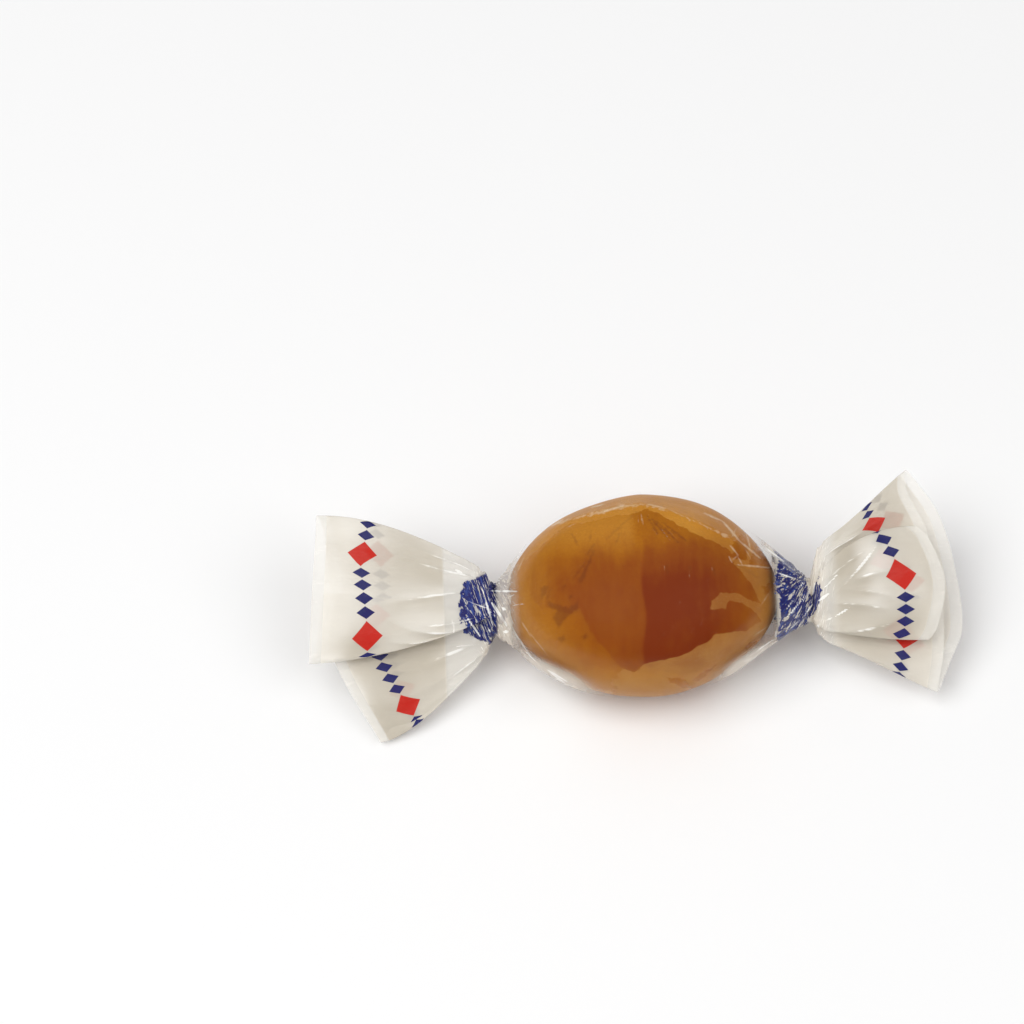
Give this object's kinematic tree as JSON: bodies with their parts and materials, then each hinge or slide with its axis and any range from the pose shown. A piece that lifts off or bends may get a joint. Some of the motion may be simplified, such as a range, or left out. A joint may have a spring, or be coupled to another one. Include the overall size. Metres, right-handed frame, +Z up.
{
  "type": "wrapped hard caramel candy",
  "caption": "Egg-shaped boiled caramel sweet in a clear film wrapper, twisted shut at both ends into pleated necks with flattened, folded fans.",
  "frame": {"origin": "On the table, under the middle of the sweet's bounding box.", "axes": "+X along the sweet from its left fan to its right fan, +Y away from the viewer, +Z up. The fans lean back from the table, and their upper corners point to +Y and +Z."},
  "size_m": [0.0646, 0.0232, 0.0166],
  "materials": {
    "caramel": "glossy boiled sugar, golden brown",
    "clear_film": "thin glossy clear film"
  },
  "bodies": {
    "root": {"caramel": "caramel", "wrapper": "clear_film"}
  },
  "joints": []
}
